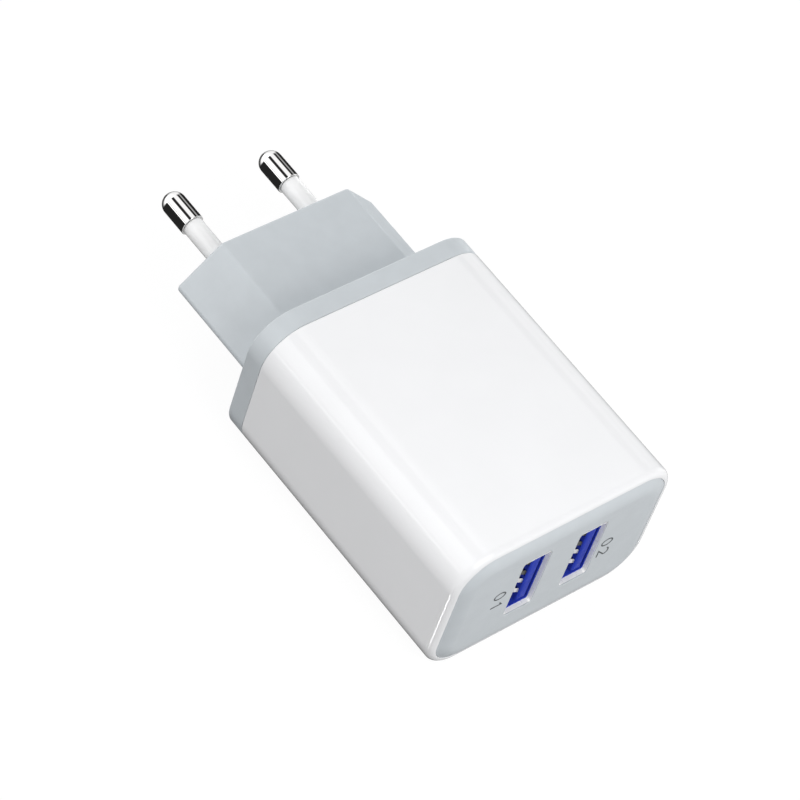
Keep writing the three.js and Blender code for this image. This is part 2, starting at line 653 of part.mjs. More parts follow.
for (const [side, sign] of [['left', -1], ['right', 1]]) {
  const pinX = (sign * PIN_SPACING) / 2;
  const portX = sign * PORT_X;
  place(`pin_${side}`, mainsPin(pinX), MATERIALS.nickel);
  place(`pin_sleeve_${side}`, pinSleeve(pinX), MATERIALS.sleeve);
  place(`pin_lead_${side}`, pinLead(sign), MATERIALS.whiteWire);
  place(`usb_shell_${side}`, usbShell(portX), MATERIALS.nickel);
  place(`usb_insulator_${side}`, usbInsulator(portX), MATERIALS.bluePlastic);
  CONTACT.offsets.forEach((offset, i) => {
    place(`usb_contact_${side}_${i + 1}`, usbContact(portX, offset), MATERIALS.gold);
  });
  place(`port_chip_${side}`, chipUnderBoard(portX, -50.5, 1.7, 2.9, 1.1, 3), MATERIALS.blackPlastic);
}

place('main_board', mainBoard(), MATERIALS.boardGreen);
place('transformer_core_rear', coreHalf(1), MATERIALS.ferrite);
place('transformer_core_front', coreHalf(-1), MATERIALS.ferrite);
place('transformer_bobbin', bobbin(), MATERIALS.blackPlastic);
place('transformer_winding', winding(), MATERIALS.tape);
INPUT_CAPS.forEach((spot, i) => {
  const can = radialCapacitor(spot, 5.0, 15.5, LEADS.inputCaps[i]);
  place(`input_capacitor_${i + 1}`, can, MATERIALS.canSleeve);
});
OUTPUT_CAPS.forEach((spot, i) => {
  const can = radialCapacitor(spot, 4.0, 12.0, LEADS.outputCaps[i]);
  place(`output_capacitor_${i + 1}`, can, MATERIALS.canSleeve);
});
place('filter_inductor_core', inductorCore(), MATERIALS.ferrite);
place('filter_inductor_coil', inductorCoil(), MATERIALS.copper);
place('safety_capacitor', safetyCapacitor(), MATERIALS.blueCeramic);
place('fuse', axialPart(FUSE, LEADS.fuse), MATERIALS.whiteWire);
place('clamp_diode', axialPart(CLAMP_DIODE, LEADS.clampDiode), MATERIALS.blackPlastic);
place('bridge_rectifier', chipUnderBoard(10, -33, 6.2, 6.4, 2.4, 2), MATERIALS.blackPlastic);
place('controller_chip', chipUnderBoard(4.5, -39.2, 3.9, 4.9, 1.4, 4), MATERIALS.blackPlastic);
place('output_rectifier', chipUnderBoard(1.5, -45.6, 4.4, 6.0, 1.8, 2), MATERIALS.blackPlastic);
place('optocoupler', optocoupler(), MATERIALS.blackPlastic);
place('insulation_barrier', insulationBarrier(), MATERIALS.amberFilm);

export default charger;
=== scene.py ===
"""USB wall charger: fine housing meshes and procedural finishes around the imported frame."""
import math

import bmesh
import bpy
from mathutils import Matrix, Vector


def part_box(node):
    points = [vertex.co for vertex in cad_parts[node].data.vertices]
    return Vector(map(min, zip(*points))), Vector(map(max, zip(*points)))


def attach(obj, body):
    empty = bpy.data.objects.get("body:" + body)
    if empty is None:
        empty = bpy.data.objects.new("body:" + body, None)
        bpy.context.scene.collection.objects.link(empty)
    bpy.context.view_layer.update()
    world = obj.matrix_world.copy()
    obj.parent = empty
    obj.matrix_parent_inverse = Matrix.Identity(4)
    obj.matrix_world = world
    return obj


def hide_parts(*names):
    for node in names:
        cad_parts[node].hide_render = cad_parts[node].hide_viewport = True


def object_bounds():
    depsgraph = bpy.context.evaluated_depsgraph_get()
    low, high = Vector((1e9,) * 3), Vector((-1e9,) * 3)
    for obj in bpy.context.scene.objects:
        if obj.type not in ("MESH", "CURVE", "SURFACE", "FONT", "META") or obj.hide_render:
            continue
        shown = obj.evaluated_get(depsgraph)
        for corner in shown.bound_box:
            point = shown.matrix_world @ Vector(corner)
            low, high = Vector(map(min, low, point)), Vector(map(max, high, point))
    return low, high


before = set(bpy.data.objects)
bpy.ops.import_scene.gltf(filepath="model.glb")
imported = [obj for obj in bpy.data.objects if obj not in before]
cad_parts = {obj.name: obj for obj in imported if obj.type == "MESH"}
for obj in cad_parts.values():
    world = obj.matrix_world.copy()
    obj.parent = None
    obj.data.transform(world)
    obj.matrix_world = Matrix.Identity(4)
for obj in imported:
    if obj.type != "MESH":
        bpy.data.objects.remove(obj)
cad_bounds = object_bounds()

MM = 0.001
SIDES = {"left": -1, "right": 1}

# ---- dimensions, in millimetres: boxes of the frame first, then the fine shapes ---------------


def span(node):
    """A CAD node's lowest and highest corners, in millimetres."""
    low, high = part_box(node)
    return low / MM, high / MM


shell_low, shell_high = span("front_housing")
cover_low = span("rear_cover")[0]
panel_low, panel_high = span("port_panel")
retainer_low = span("pin_retainer")[0]
socket_low, socket_high = span("usb_insulator_right")

BODY_WIDTH = shell_high.x - shell_low.x
BODY_HEIGHT = shell_high.z - shell_low.z
BODY_CORNER = 6.8
FRONT_FILLET = 1.2
SHELL_WALL = 1.8
PANEL_INSET = 1.25
PANEL_GAP = 0.05
SKIRT_GAP = 0.15
SEAT_GAP = 0.1
PANEL_PILLOW = 2.6
PANEL_EDGE_R = 0.15
RECESS_DEPTH = 2.3
LEDGE_THICKNESS = 1.3
LEDGE_INSET = 3.4
SKIRT_WALL = 1.2
PANEL_THICKNESS = 1.4
HOLE = {"width": 5.5, "height": 13.5, "radius": 0.9, "edge": 0.12, "lip": 0.4}
SOCKET = {"width": 5.12, "height": 12.5, "radius": 0.3, "sheet": 0.3, "flare": 0.17, "lip": 0.42,
          "mouth": 0.08}
SOCKET_LEG = {"length": 1.6, "behind_rear": (2.2, 7.8)}
LINER = {"gap": 0.05, "wall": 0.2, "front": 0.77, "block": 4.0}
TONGUE = {"thickness": 1.84, "height": 11.1, "gap": 0.6, "front": 0.79, "chamfer": 0.3,
          "slot_width": 1.3, "slot_depth": 1.1, "slot_lip": 0.3}
# A contact's bow: how far below its proud bend it lies, as a share, at distances behind its tip.
CONTACT_BOW = [(1, 3.4), (0, 2.2), (0, 0.45), (0.9, 0.06)]
CONTACT = {"thickness": 0.2, "width": 0.96, "edge": 0.06, "tip": 1.14, "steps": 8}
POCKET = {"width": 6.02, "height": 13.4}

PLINTH_LENGTH = 18.9
PLINTH_HEIGHT = 14.1
PLINTH_HALF_FLAT = 12.3
PLINTH_HALF_WIDTH = 19.3
PLINTH_RIDGE_R = 1.0
PLINTH_EDGE_R = 0.8
PLINTH_FACE_R = 0.55
PLINTH_FOOT_R = 0.35
FLANGE_EDGE_R = 0.35
FLANGE_LENGTH = 3.5
COVER_WALL = 1.8
END_WALL = 2.6
SPIGOT_WALL = 1.4
SPIGOT_INSET = 1.95
BOSS_R = 3.4
BOSS_Y = -3.1
BORE_R = 1.77
BORE_EDGE_R = 0.2
STAKE_X = 3.4
STAKE_R = 1.2
STAKE_HEAD_R = 1.9

PIN_X = 9.5
PIN_R = 2.0
PIN_CORE_R = 1.25
PIN_SHANK_R = 1.5
PIN_FLANGE_R = 2.6
PIN_FLANGE_Y = (-4.4, -3.2)
PIN_COLLAR = 0.04
PIN_GAP = 0.05
PIN_CHAMFER = 0.2
SLEEVE_R = 1.7
SLEEVE_LENGTH = 8.9
SLEEVE_GAP = 0.04
SLEEVE_EDGE = 0.1

FLANGE_FRONT_Y = -PLINTH_LENGTH - FLANGE_LENGTH
RIM_Y = shell_low.y
FACE_Y = panel_low.y
RECESS_Y = RIM_Y + RECESS_DEPTH
LEDGE_Y = RECESS_Y + LEDGE_THICKNESS
PORT_X = (socket_low.x + socket_high.x) / 2
PORT_Z = (socket_low.z + socket_high.z) / 2

CORNER_STEPS = 20
ROUND_STEPS = 72
DOME_STEPS = 16
SHARP_ANGLE = 38.0

# ---- outlines and meshes ----------------------------------------------------------------------


def rounded_polygon(corners, steps=CORNER_STEPS):
    """Points (x, z) of a polygon whose corners, each (x, z, radius), are rounded by arcs."""
    points = []
    for i, (x, z, radius) in enumerate(corners):
        corner = Vector((x, z))
        before = (Vector(corners[i - 1][:2]) - corner).normalized()
        after = (Vector(corners[(i + 1) % len(corners)][:2]) - corner).normalized()
        half = before.angle(after) / 2
        centre = corner + (before + after).normalized() * (radius / math.sin(half))
        start = corner + before * (radius / math.tan(half)) - centre
        sweep = math.pi - 2 * half
        for k in range(steps + 1):
            points.append(centre + Matrix.Rotation(sweep * k / steps, 2) @ start)
    return [(p.x, p.y) for p in points]


def rounded_rect(width, height, radius, x=0.0, z=0.0, steps=CORNER_STEPS):
    w, h = width / 2, height / 2
    signs = [(1, -1), (1, 1), (-1, 1), (-1, -1)]
    return rounded_polygon([(x + sx * w, z + sz * h, radius) for sx, sz in signs], steps)


def body_outline(inset):
    return rounded_rect(BODY_WIDTH - 2 * inset, BODY_HEIGHT - 2 * inset, BODY_CORNER - inset)


def plinth_outline(inset):
    """The plug plinth's flat-topped hexagon, its walls moved inwards by inset."""
    rise = PLINTH_HEIGHT / 2
    run = PLINTH_HALF_WIDTH - PLINTH_HALF_FLAT
    vertex = PLINTH_HALF_WIDTH - inset * math.hypot(rise, run) / rise
    top = rise - inset
    flat = vertex - run * top / rise
    ridge = max(PLINTH_RIDGE_R - inset, 0.4)
    edge = max(PLINTH_EDGE_R - inset, 0.4)
    return rounded_polygon([
        (vertex, 0, edge), (flat, top, ridge), (-flat, top, ridge),
        (-vertex, 0, edge), (-flat, -top, ridge), (flat, -top, ridge),
    ])


def circle(radius, x):
    turns = [2 * math.pi * k / ROUND_STEPS for k in range(ROUND_STEPS)]
    return [(x + radius * math.cos(t), radius * math.sin(t)) for t in turns]


def quarter(start, end, steps=6, bulge_first=True):
    """Points on a quarter ellipse from start to end, each (inset, y), leaving start along y
    when bulge_first is true and along the inset when it is not."""
    points = []
    for k in range(steps + 1):
        turn = math.pi / 2 * k / steps
        near, far = 1 - math.cos(turn), math.sin(turn)
        inset_share, y_share = (near, far) if bulge_first else (far, near)
        points.append((
            start[0] + (end[0] - start[0]) * inset_share,
            start[1] + (end[1] - start[1]) * y_share,
        ))
    return points


class Mesher:
    """Builds one closed mesh from rings of points in planes across Y."""

    def __init__(self):
        self.bm = bmesh.new()

    def ring(self, outline, y):
        return [self.bm.verts.new((x * MM, y * MM, z * MM)) for x, z in outline]

    def bridge(self, first, second):
        count = len(first)
        for i in range(count):
            j = (i + 1) % count
            self.bm.faces.new((first[i], first[j], second[j], second[i]))

    def loft(self, outline, steps, closed=False, first=None):
        """Rings of outline(inset) at each (inset, y), joined in turn; returns the end rings."""
        rings = [first] if first else []
        rings += [self.ring(outline(inset), y) for inset, y in steps]
        for a, b in zip(rings, rings[1:]):
            self.bridge(a, b)
        if closed:
            self.bridge(rings[-1], rings[0])
        return rings[0], rings[-1]

    def fill(self, *rings):
        """A flat face inside the first ring and outside the others."""
        edges = []
        for ring in rings:
            for i, vert in enumerate(ring):
                after = ring[(i + 1) % len(ring)]
                found = self.bm.edges.get((vert, after))
                edges.append(found or self.bm.edges.new((vert, after)))
        bmesh.ops.triangle_fill(self.bm, use_beauty=True, edges=edges)

    def cap(self, ring, x, y):
        """A fan from a ring to a point at half height."""
        tip = self.bm.verts.new((x * MM, y * MM, 0))
        for i, vert in enumerate(ring):
            self.bm.faces.new((vert, ring[(i + 1) % len(ring)], tip))

    def build(self, name, finish):
        bmesh.ops.recalc_face_normals(self.bm, faces=self.bm.faces)
        mesh = bpy.data.meshes.new(name)
        self.bm.to_mesh(mesh)
        self.bm.free()
        mesh.shade_smooth()
        mesh.set_sharp_from_angle(angle=math.radians(SHARP_ANGLE))
        piece = bpy.data.objects.new(name, mesh)
        bpy.context.scene.collection.objects.link(piece)
        mesh.materials.append(finish)
        weigh_normals(piece)
        return piece


def weigh_normals(piece):
    weigh = piece.modifiers.new("weighted_normals", "WEIGHTED_NORMAL")
    weigh.keep_sharp = True
    weigh.weight = 90


def soften_edges(piece, width):
    """Rounds a CAD node's sharp edges; its own mesh stays as it is."""
    weld = piece.modifiers.new("weld", "WELD")
    weld.merge_threshold = 1e-6
    bevel = piece.modifiers.new("edge_rounding", "BEVEL")
    bevel.width = width * MM
    bevel.segments = 2
    bevel.limit_method = "ANGLE"
    bevel.angle_limit = math.radians(32)
    bevel.use_clamp_overlap = True
    bevel.harden_normals = False
    weigh_normals(piece)


def install(piece, body, slot, *nodes):
    """The piece rides on a body and stands for CAD nodes; the slot argument is not used."""
    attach(piece, body)
    if nodes:
        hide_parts(*nodes)
    return piece


# ---- materials --------------------------------------------------------------------------------


class Finish:
    """A Principled material with helpers that add procedural detail at real scale."""

    def __init__(self, name, color, roughness, metallic=0.0, ior=None, coat=0.0):
        self.material = bpy.data.materials.new(name)
        self.material.use_nodes = True
        self.nodes = self.material.node_tree.nodes
        self.links = self.material.node_tree.links
        self.shader = self.nodes["Principled BSDF"]
        self.color, self.roughness = color, roughness
        self.shader.inputs["Base Color"].default_value = (*color, 1)
        self.shader.inputs["Roughness"].default_value = roughness
        self.shader.inputs["Metallic"].default_value = metallic
        if ior is not None:
            self.shader.inputs["IOR"].default_value = ior
        self.shader.inputs["Coat Weight"].default_value = coat
        self.shader.inputs["Coat Roughness"].default_value = 0.06
        self.place = self.nodes.new("ShaderNodeTexCoord").outputs["Object"]
        self.normal = None

    def stretched(self, scale):
        """Coordinates in millimetres, divided per axis by the grain's length."""
        mapping = self.nodes.new("ShaderNodeMapping")
        mapping.inputs["Scale"].default_value = [1 / (MM * s) for s in scale]
        self.links.new(self.place, mapping.inputs["Vector"])
        return mapping.outputs["Vector"]

    def noise(self, size, detail=3.0, stretch=(1, 1, 1)):
        """Noise whose grains are about size millimetres across."""
        texture = self.nodes.new("ShaderNodeTexNoise")
        texture.inputs["Scale"].default_value = 1.0
        texture.inputs["Detail"].default_value = detail
        texture.inputs["Roughness"].default_value = 0.5
        self.links.new(self.stretched([size * s for s in stretch]), texture.inputs["Vector"])
        return texture.outputs["Fac"]

    def ranged(self, value, low, high, start=0.3, end=0.7):
        node = self.nodes.new("ShaderNodeMapRange")
        node.inputs["From Min"].default_value = start
        node.inputs["From Max"].default_value = end
        node.inputs["To Min"].default_value = low
        node.inputs["To Max"].default_value = high
        self.links.new(value, node.inputs["Value"])
        return node.outputs["Result"]

    def mixed(self, factor, first, second):
        node = self.nodes.new("ShaderNodeMix")
        node.data_type = "RGBA"
        node.inputs[6].default_value = (*first, 1)
        node.inputs[7].default_value = (*second, 1)
        self.links.new(factor, node.inputs["Factor"])
        return node.outputs[2]

    def shade(self, amount, size, **options):
        """Lightness varies by amount up and down over patches of size millimetres."""
        darker = [c * (1 - amount) for c in self.color]
        lighter = [min(c * (1 + amount), 1) for c in self.color]
        factor = self.ranged(self.noise(size, **options), 0, 1)
        self.links.new(self.mixed(factor, darker, lighter), self.shader.inputs["Base Color"])
        return self

    def polish(self, amount, size, **options):
        """Roughness varies by amount over patches of size millimetres."""
        factor = self.ranged(
            self.noise(size, **options), self.roughness - amount, self.roughness + amount)
        self.links.new(factor, self.shader.inputs["Roughness"])
        return self

    def relief(self, height, depth):
        """Bump from a height field between 0 and 1, depth millimetres deep."""
        bump = self.nodes.new("ShaderNodeBump")
        bump.inputs["Strength"].default_value = 1.0
        bump.inputs["Distance"].default_value = depth * MM
        self.links.new(height, bump.inputs["Height"])
        if self.normal:
            self.links.new(self.normal, bump.inputs["Normal"])
        self.normal = bump.outputs["Normal"]
        self.links.new(self.normal, self.shader.inputs["Normal"])
        return self

    def grain(self, size, depth, **options):
        return self.relief(self.noise(size, **options), depth)

    def stripes(self, axis, pitch, distortion=0.0):
        """Wave stripes across an axis, pitch millimetres apart, as a value from 0 to 1."""
        wave = self.nodes.new("ShaderNodeTexWave")
        wave.wave_type = "BANDS"
        wave.bands_direction = axis
        wave.inputs["Scale"].default_value = 2 * math.pi / 20 / (pitch * MM)
        wave.inputs["Distortion"].default_value = distortion
        wave.inputs["Detail"].default_value = 1.0
        self.links.new(self.place, wave.inputs["Vector"])
        return wave.outputs["Fac"]

    def tint(self, factor, first, second):
        self.links.new(self.mixed(factor, first, second), self.shader.inputs["Base Color"])
        return self


def white_gloss():
    finish = Finish("white_gloss", (0.873, 0.877, 0.89), 0.085, ior=1.5)
    finish.shade(0.008, 9.0).polish(0.02, 4.0)
    return finish.grain(2.6, 0.0012).grain(0.35, 0.0002).material


def grey_satin():
    finish = Finish("grey_satin", (0.563, 0.600, 0.627), 0.34, ior=1.47)
    finish.shade(0.02, 3.0).polish(0.04, 0.5)
    return finish.grain(0.16, 0.0022, detail=2.0).grain(3.5, 0.003).material


def nickel_plate():
    finish = Finish("nickel_plate", (0.86, 0.855, 0.85), 0.04, metallic=1.0)
    finish.shade(0.03, 0.4, stretch=(1, 14, 1)).polish(0.015, 0.5, stretch=(1, 10, 1))
    return finish.grain(0.12, 0.0002, stretch=(1, 30, 1)).material


def socket_steel():
    finish = Finish("socket_steel", (0.92, 0.92, 0.89), 0.30, metallic=0.1)
    finish.shade(0.03, 0.5, stretch=(1, 8, 1)).polish(0.04, 0.4, stretch=(1, 6, 1))
    return finish.grain(0.1, 0.0005, stretch=(1, 20, 1)).material


def sleeve_plastic():
    finish = Finish("sleeve_plastic", (0.965, 0.965, 0.965), 0.20, ior=1.5)
    finish.shade(0.015, 1.5, stretch=(1, 3, 1)).polish(0.05, 0.8)
    return finish.grain(0.3, 0.001, stretch=(1, 5, 1)).material


def blue_plastic():
    finish = Finish("blue_plastic", (0.026, 0.050, 0.43), 0.40, ior=1.15)
    finish.shade(0.08, 0.9).polish(0.06, 0.4)
    return finish.grain(0.12, 0.0012).material


def contact_metal():
    finish = Finish("contact_metal", (0.95, 0.94, 0.92), 0.40, metallic=0.1)
    finish.shade(0.05, 0.3, stretch=(1, 6, 1)).polish(0.05, 0.3)
    return finish.grain(0.08, 0.0006, stretch=(1, 12, 1)).material


def contact_painted_shade():
    """A darker copy of the contact metal for the two upper contacts of each socket: painted shade.
    """
    finish = Finish("contact_painted_shade", (0.15, 0.15, 0.14), 0.40, metallic=0.1)
    finish.shade(0.05, 0.3, stretch=(1, 6, 1)).polish(0.05, 0.3)
    return finish.grain(0.08, 0.0006, stretch=(1, 12, 1)).material


def mark_ink():
    finish = Finish("mark_ink", (0.075, 0.085, 0.09), 0.5)
    return finish.shade(0.15, 0.25).polish(0.08, 0.2).grain(0.08, 0.001).material


def circuit_board():
    """Solder mask over glass cloth, with broad copper areas showing lighter through it."""
    finish = Finish("circuit_board", (0.02, 0.13, 0.055), 0.34, ior=1.55)
    copper_areas = finish.ranged(finish.noise(4.2, detail=0.0), 0, 1, 0.50, 0.53)
    finish.tint(copper_areas, (0.016, 0.105, 0.045), (0.045, 0.21, 0.09))
    finish.relief(copper_areas, 0.035).polish(0.05, 1.0)
    return finish.relief(finish.stripes("X", 0.45), 0.002).relief(
        finish.stripes("Y", 0.45), 0.002).material


def ferrite():
    finish = Finish("ferrite", (0.035, 0.036, 0.04), 0.55)
    finish.shade(0.35, 0.35, detail=6.0).polish(0.12, 0.6)
    return finish.grain(0.18, 0.02, detail=5.0).material


def black_plastic():
    finish = Finish("black_plastic", (0.018, 0.019, 0.021), 0.46)
    return finish.shade(0.2, 1.1).polish(0.08, 0.5).grain(0.14, 0.006).material


def yellow_tape():
    """Polyester tape wound in overlapping turns."""
    finish = Finish("yellow_tape", (0.70, 0.42, 0.03), 0.26, ior=1.6)
    overlap = finish.stripes("Y", 2.6, distortion=0.3)
    finish.tint(finish.ranged(overlap, 0, 1, 0.2, 0.8), (0.62, 0.35, 0.02), (0.78, 0.50, 0.05))
    return finish.polish(0.08, 1.5).relief(overlap, 0.03).grain(1.6, 0.03).material


def can_sleeve():
    """Shrink sleeve of the capacitors, dark with a paler stripe down one side."""
    finish = Finish("can_sleeve", (0.03, 0.035, 0.06), 0.28, ior=1.5)
    finish.tint(finish.ranged(finish.stripes("X", 9.0), 0, 1, 0.93, 0.95),
                (0.022, 0.026, 0.045), (0.55, 0.57, 0.60))
    return finish.polish(0.06, 1.2).grain(0.8, 0.006, stretch=(1, 1, 3)).material


def enamel_copper():
    finish = Finish("enamel_copper", (0.72, 0.26, 0.10), 0.24, metallic=1.0)
    finish.shade(0.12, 0.5)
    return finish.polish(0.06, 0.4).relief(finish.stripes("Z", 0.5, 0.4), 0.09).material


def blue_coating():
    finish = Finish("blue_coating", (0.05, 0.16, 0.46), 0.3, ior=1.5, coat=0.3)
    return finish.shade(0.12, 1.4).polish(0.08, 0.8).grain(1.3, 0.04).material


def fuse_body():
    finish = Finish("fuse_body", (0.70, 0.69, 0.66), 0.3, ior=1.5)
    finish.shade(0.06, 1.0).polish(0.08, 0.7)
    return finish.grain(0.4, 0.008).material


def white_wire():
    finish = Finish("white_wire", (0.72, 0.73, 0.74), 0.42)
    return finish.shade(0.05, 1.2).polish(0.06, 0.6).grain(0.25, 0.006).material


def retainer_board():
    """Hard paper laminate with visible fibres."""
    finish = Finish("retainer_board", (0.52, 0.40, 0.22), 0.6)
    finish.shade(0.16, 0.5, detail=5.0, stretch=(4, 1, 1)).polish(0.08, 0.8)
    return finish.grain(0.2, 0.012, stretch=(6, 1, 1)).material


def amber_film():
    finish = Finish("amber_film", (0.60, 0.47, 0.24), 0.22, ior=1.6)
    return finish.shade(0.08, 3.0).polish(0.08, 2.0).grain(2.4, 0.03).material


FINISHES = {
    "white_gloss": white_gloss(), "grey_satin": grey_satin(), "nickel_plate": nickel_plate(),
    "socket_steel": socket_steel(), "sleeve_plastic": sleeve_plastic(),
    "blue_plastic": blue_plastic(), "contact_metal": contact_metal(),
    "contact_painted_shade": contact_painted_shade(), "mark_ink": mark_ink(),
    "circuit_board": circuit_board(), "ferrite": ferrite(), "black_plastic": black_plastic(),
    "yellow_tape": yellow_tape(), "can_sleeve": can_sleeve(), "enamel_copper": enamel_copper(),
    "blue_coating": blue_coating(), "fuse_body": fuse_body(), "white_wire": white_wire(),
    "retainer_board": retainer_board(), "amber_film": amber_film(),
}

# ---- housing ----------------------------------------------------------------------------------

VISIBLE_SEAM = 0.03
SHELL_REAR_R = 0.12
FLANGE_FRONT_R = 0.1
STAKE_HEAD = 0.5
PILLOW_STEPS = 12


def build_shell():
    """The white shell: one wall, rolled over at the front into the recess that holds the panel."""
    rear = FLANGE_FRONT_Y - VISIBLE_SEAM
    steps = quarter((SHELL_REAR_R, rear), (0, rear - SHELL_REAR_R), 3, bulge_first=False)
    steps += [(0, rear - 1.0), (0, RIM_Y + FRONT_FILLET + 0.4)]
    steps += quarter((0, RIM_Y + FRONT_FILLET), (FRONT_FILLET, RIM_Y), 10)
    steps += quarter((PANEL_INSET - 0.02, RIM_Y), (PANEL_INSET, RIM_Y + 0.05), 2, False)
    steps += [
        (PANEL_INSET, RECESS_Y), (LEDGE_INSET, RECESS_Y), (LEDGE_INSET, LEDGE_Y),
        (SHELL_WALL, LEDGE_Y), (SHELL_WALL, rear),
    ]
    shape = Mesher()
    shape.loft(body_outline, steps, closed=True)
    shell = shape.build("shell", FINISHES["white_gloss"])
    return install(shell, "charger", "white_gloss", "front_housing")


def hole_rings(shape, x):
    """A socket hole through the panel, its edge rounded and its back opened to a pocket."""
    def opening(size):
        return lambda inset: rounded_rect(size["width"] - 2 * inset, size["height"] - 2 * inset,
                                          HOLE["radius"] - inset, x, PORT_Z, 10)

    edge, lip = HOLE["edge"], FACE_Y + HOLE["lip"]
    front, wall = shape.loft(opening(HOLE), quarter((-edge, FACE_Y), (0, FACE_Y + edge), 5, False)
                             + [(0, lip)])
    back = shape.loft(opening(POCKET), [(0, lip), (0, FACE_Y + PANEL_THICKNESS)], first=wall)[1]
    return front, back


def build_panel():
    """The grey end panel: a plate with a pillowed edge, two socket holes and a skirt behind."""
    outer = PANEL_INSET + PANEL_GAP
    back = RECESS_Y - SEAT_GAP
    skirt = LEDGE_INSET + SKIRT_GAP
    inner = skirt + SKIRT_WALL
    steps = [(inner, FACE_Y + PANEL_THICKNESS), (inner, panel_high.y)]
    steps += [(skirt, panel_high.y), (skirt, back), (outer, back), (outer, RIM_Y + 0.5)]
    steps += quarter((outer, RIM_Y + PANEL_EDGE_R), (outer + PANEL_EDGE_R, RIM_Y), 4)
    crown = RIM_Y - FACE_Y
    for k in range(1, PILLOW_STEPS + 1):
        t = k / PILLOW_STEPS
        steps.append((outer + PANEL_EDGE_R + PANEL_PILLOW * t, FACE_Y + crown * (1 - t) ** 2))
    shape = Mesher()
    inside, face = shape.loft(body_outline, steps)
    fronts, backs = zip(*[hole_rings(shape, side * PORT_X) for side in SIDES.values()])
    shape.fill(face, *fronts)
    shape.fill(inside, *backs)
    panel = shape.build("end_panel", FINISHES["grey_satin"])
    return install(panel, "charger", "grey_satin", "port_panel")


def build_cover():
    """The grey plug end: hexagonal plinth, flange and spigot, hollow behind the end wall."""
    shape = Mesher()
    bores, posts = [], []
    for side in SIDES.values():
        def bore(inset, x=side * PIN_X):
            return circle(BORE_R - inset, x)

        mouth, boss_rim = shape.loft(
            bore, quarter((-BORE_EDGE_R, 0), (0, -BORE_EDGE_R), 4, False) + [(0, BOSS_Y)])
        root = shape.loft(bore, [(BORE_R - BOSS_R, BOSS_Y), (BORE_R - BOSS_R, -END_WALL)],
                          first=boss_rim)[1]
        bores.append(mouth)
        posts.append(root)
    for x in (-STAKE_X, STAKE_X):
        def stake(inset, x=x):
            return circle(STAKE_R - inset, x)

        head = STAKE_R - STAKE_HEAD_R
        top = retainer_low.y - SEAT_GAP
        root, crown = shape.loft(stake, [
            (0, -END_WALL), (0, top), (head, top), (head, top - STAKE_HEAD),
            (head / 2, top - STAKE_HEAD - 0.3), (STAKE_R / 2, top - STAKE_HEAD - 0.4)])
        shape.cap(crown, x, top - STAKE_HEAD - 0.4)
        posts.append(root)
    plinth_rear, plinth_foot = shape.loft(plinth_outline, (
        quarter((PLINTH_FACE_R, 0), (0, -PLINTH_FACE_R), 6, False)
        + [(0, -PLINTH_FACE_R - 0.3), (0, 0.3 + PLINTH_FOOT_R - PLINTH_LENGTH)]
        + quarter((0, PLINTH_FOOT_R - PLINTH_LENGTH), (-PLINTH_FOOT_R, -PLINTH_LENGTH), 4)))
    shape.fill(plinth_rear, *bores)
    spigot_y = cover_low.y
    hollow_y = -PLINTH_LENGTH - COVER_WALL
    spigot_inner = SPIGOT_INSET + SPIGOT_WALL
    flange_rear, spigot_root = shape.loft(body_outline, (
        quarter((FLANGE_EDGE_R, -PLINTH_LENGTH), (0, -PLINTH_LENGTH - FLANGE_EDGE_R), 5, False)
        + [(0, FLANGE_FRONT_Y + FLANGE_FRONT_R + 0.02)]
        + quarter((0, FLANGE_FRONT_Y + FLANGE_FRONT_R), (FLANGE_FRONT_R, FLANGE_FRONT_Y), 3)
        + [(SPIGOT_INSET, FLANGE_FRONT_Y), (SPIGOT_INSET, spigot_y), (spigot_inner, spigot_y),
           (spigot_inner, hollow_y)]))
    shape.fill(flange_rear, plinth_foot)
    hollow_mouth, end_inside = shape.loft(
        plinth_outline, [(COVER_WALL, hollow_y), (COVER_WALL, -END_WALL)])
    shape.fill(spigot_root, hollow_mouth)
    shape.fill(end_inside, *posts)
    cover = shape.build("plug_cover", FINISHES["grey_satin"])
    return install(cover, "charger", "grey_satin", "rear_cover")


# ---- mains pins -------------------------------------------------------------------------------


def lathe(name, profile, x, finish):
    """A closed body of revolution about a line along Y; profile points are (radius, y), and the
    body is capped where the profile ends on the axis."""
    shape = Mesher()
    rim = [(r, y) for r, y in profile if r > 0]
    first, last = shape.loft(lambda r: circle(r, x), rim, closed=profile[0][0] > 0)
    if profile[0][0] == 0:
        shape.cap(first, x, profile[0][1])
        shape.cap(last, x, profile[-1][1])
    return shape.build(name, finish)


